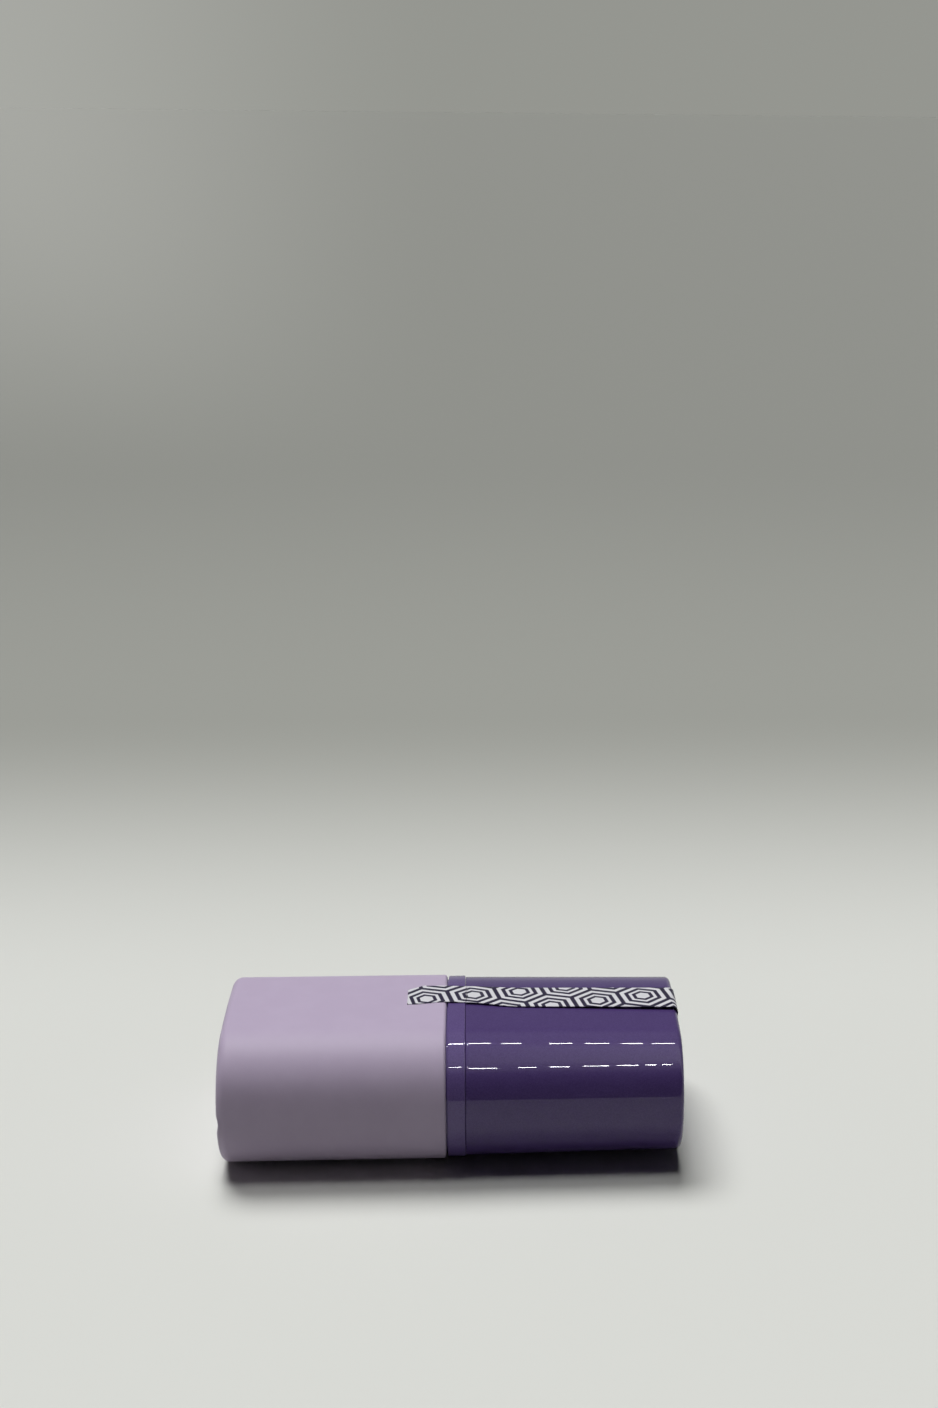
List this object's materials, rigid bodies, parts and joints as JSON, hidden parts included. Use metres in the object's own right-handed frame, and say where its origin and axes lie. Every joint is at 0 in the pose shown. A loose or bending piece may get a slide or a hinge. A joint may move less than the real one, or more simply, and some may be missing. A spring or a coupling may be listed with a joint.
{
  "type": "sunscreen bottle",
  "caption": "Small oval airless pump bottle lying on its back: matte shell, glossy band, long pull-off cap and a paper seal strip.",
  "frame": {"origin": "under the middle of the whole bottle, on the surface that its back lies on", "axes": "+X along the bottle's axis from base to cap, +Y to the far narrow side, +Z out of the printed front, which faces up as the bottle lies"},
  "size_m": [0.069, 0.0364, 0.0217],
  "materials": {
    "lavender_soft_touch": "soft-touch matte lavender",
    "purple_gloss": "pearl purple lacquer, gloss",
    "natural_plastic": "natural moulded plastic, satin",
    "white_plastic": "white moulded plastic",
    "steel": "bright drawn steel",
    "seal_paper": "coated paper, printed navy on white",
    "seal_rubber": "soft moulded seal"
  },
  "bodies": {
    "bottle": {"outer_shell": "lavender_soft_touch", "base_plate": "lavender_soft_touch", "reservoir": "natural_plastic", "neck_gasket": "seal_rubber", "pump_housing": "white_plastic", "ball_cage": "natural_plastic", "return_spring": "steel", "stem_guide": "white_plastic", "snap_ferrule": "white_plastic", "collar": "purple_gloss", "seal_strip_body": "seal_paper"},
    "cap": {"cap_shell": "purple_gloss", "cap_liner": "natural_plastic", "seal_strip_cap": "seal_paper"},
    "plunger": {"actuator": "lavender_soft_touch", "nozzle_insert": "white_plastic", "pump_stem": "white_plastic", "pump_piston": "natural_plastic"},
    "follower": {"follower_piston": "natural_plastic"},
    "ball": {"inlet_ball": "steel"}
  },
  "joints": [
    {"name": "cap_pull", "type": "slide", "parent": "bottle", "child": "cap", "axis": [1, 0, 0], "range_m": [0, 0.035]},
    {"name": "pump_press", "type": "slide", "parent": "bottle", "child": "plunger", "axis": [-1, 0, 0], "range_m": [0, 0.0032], "stiffness_N_per_m": 900, "springref_m": -0.0008, "deforming": ["return_spring"]},
    {"name": "follower_rise", "type": "slide", "parent": "bottle", "child": "follower", "axis": [1, 0, 0], "range_m": [0, 0.02]},
    {"name": "ball_lift", "type": "slide", "parent": "bottle", "child": "ball", "axis": [1, 0, 0], "range_m": [0, 0.0005]}
  ]
}
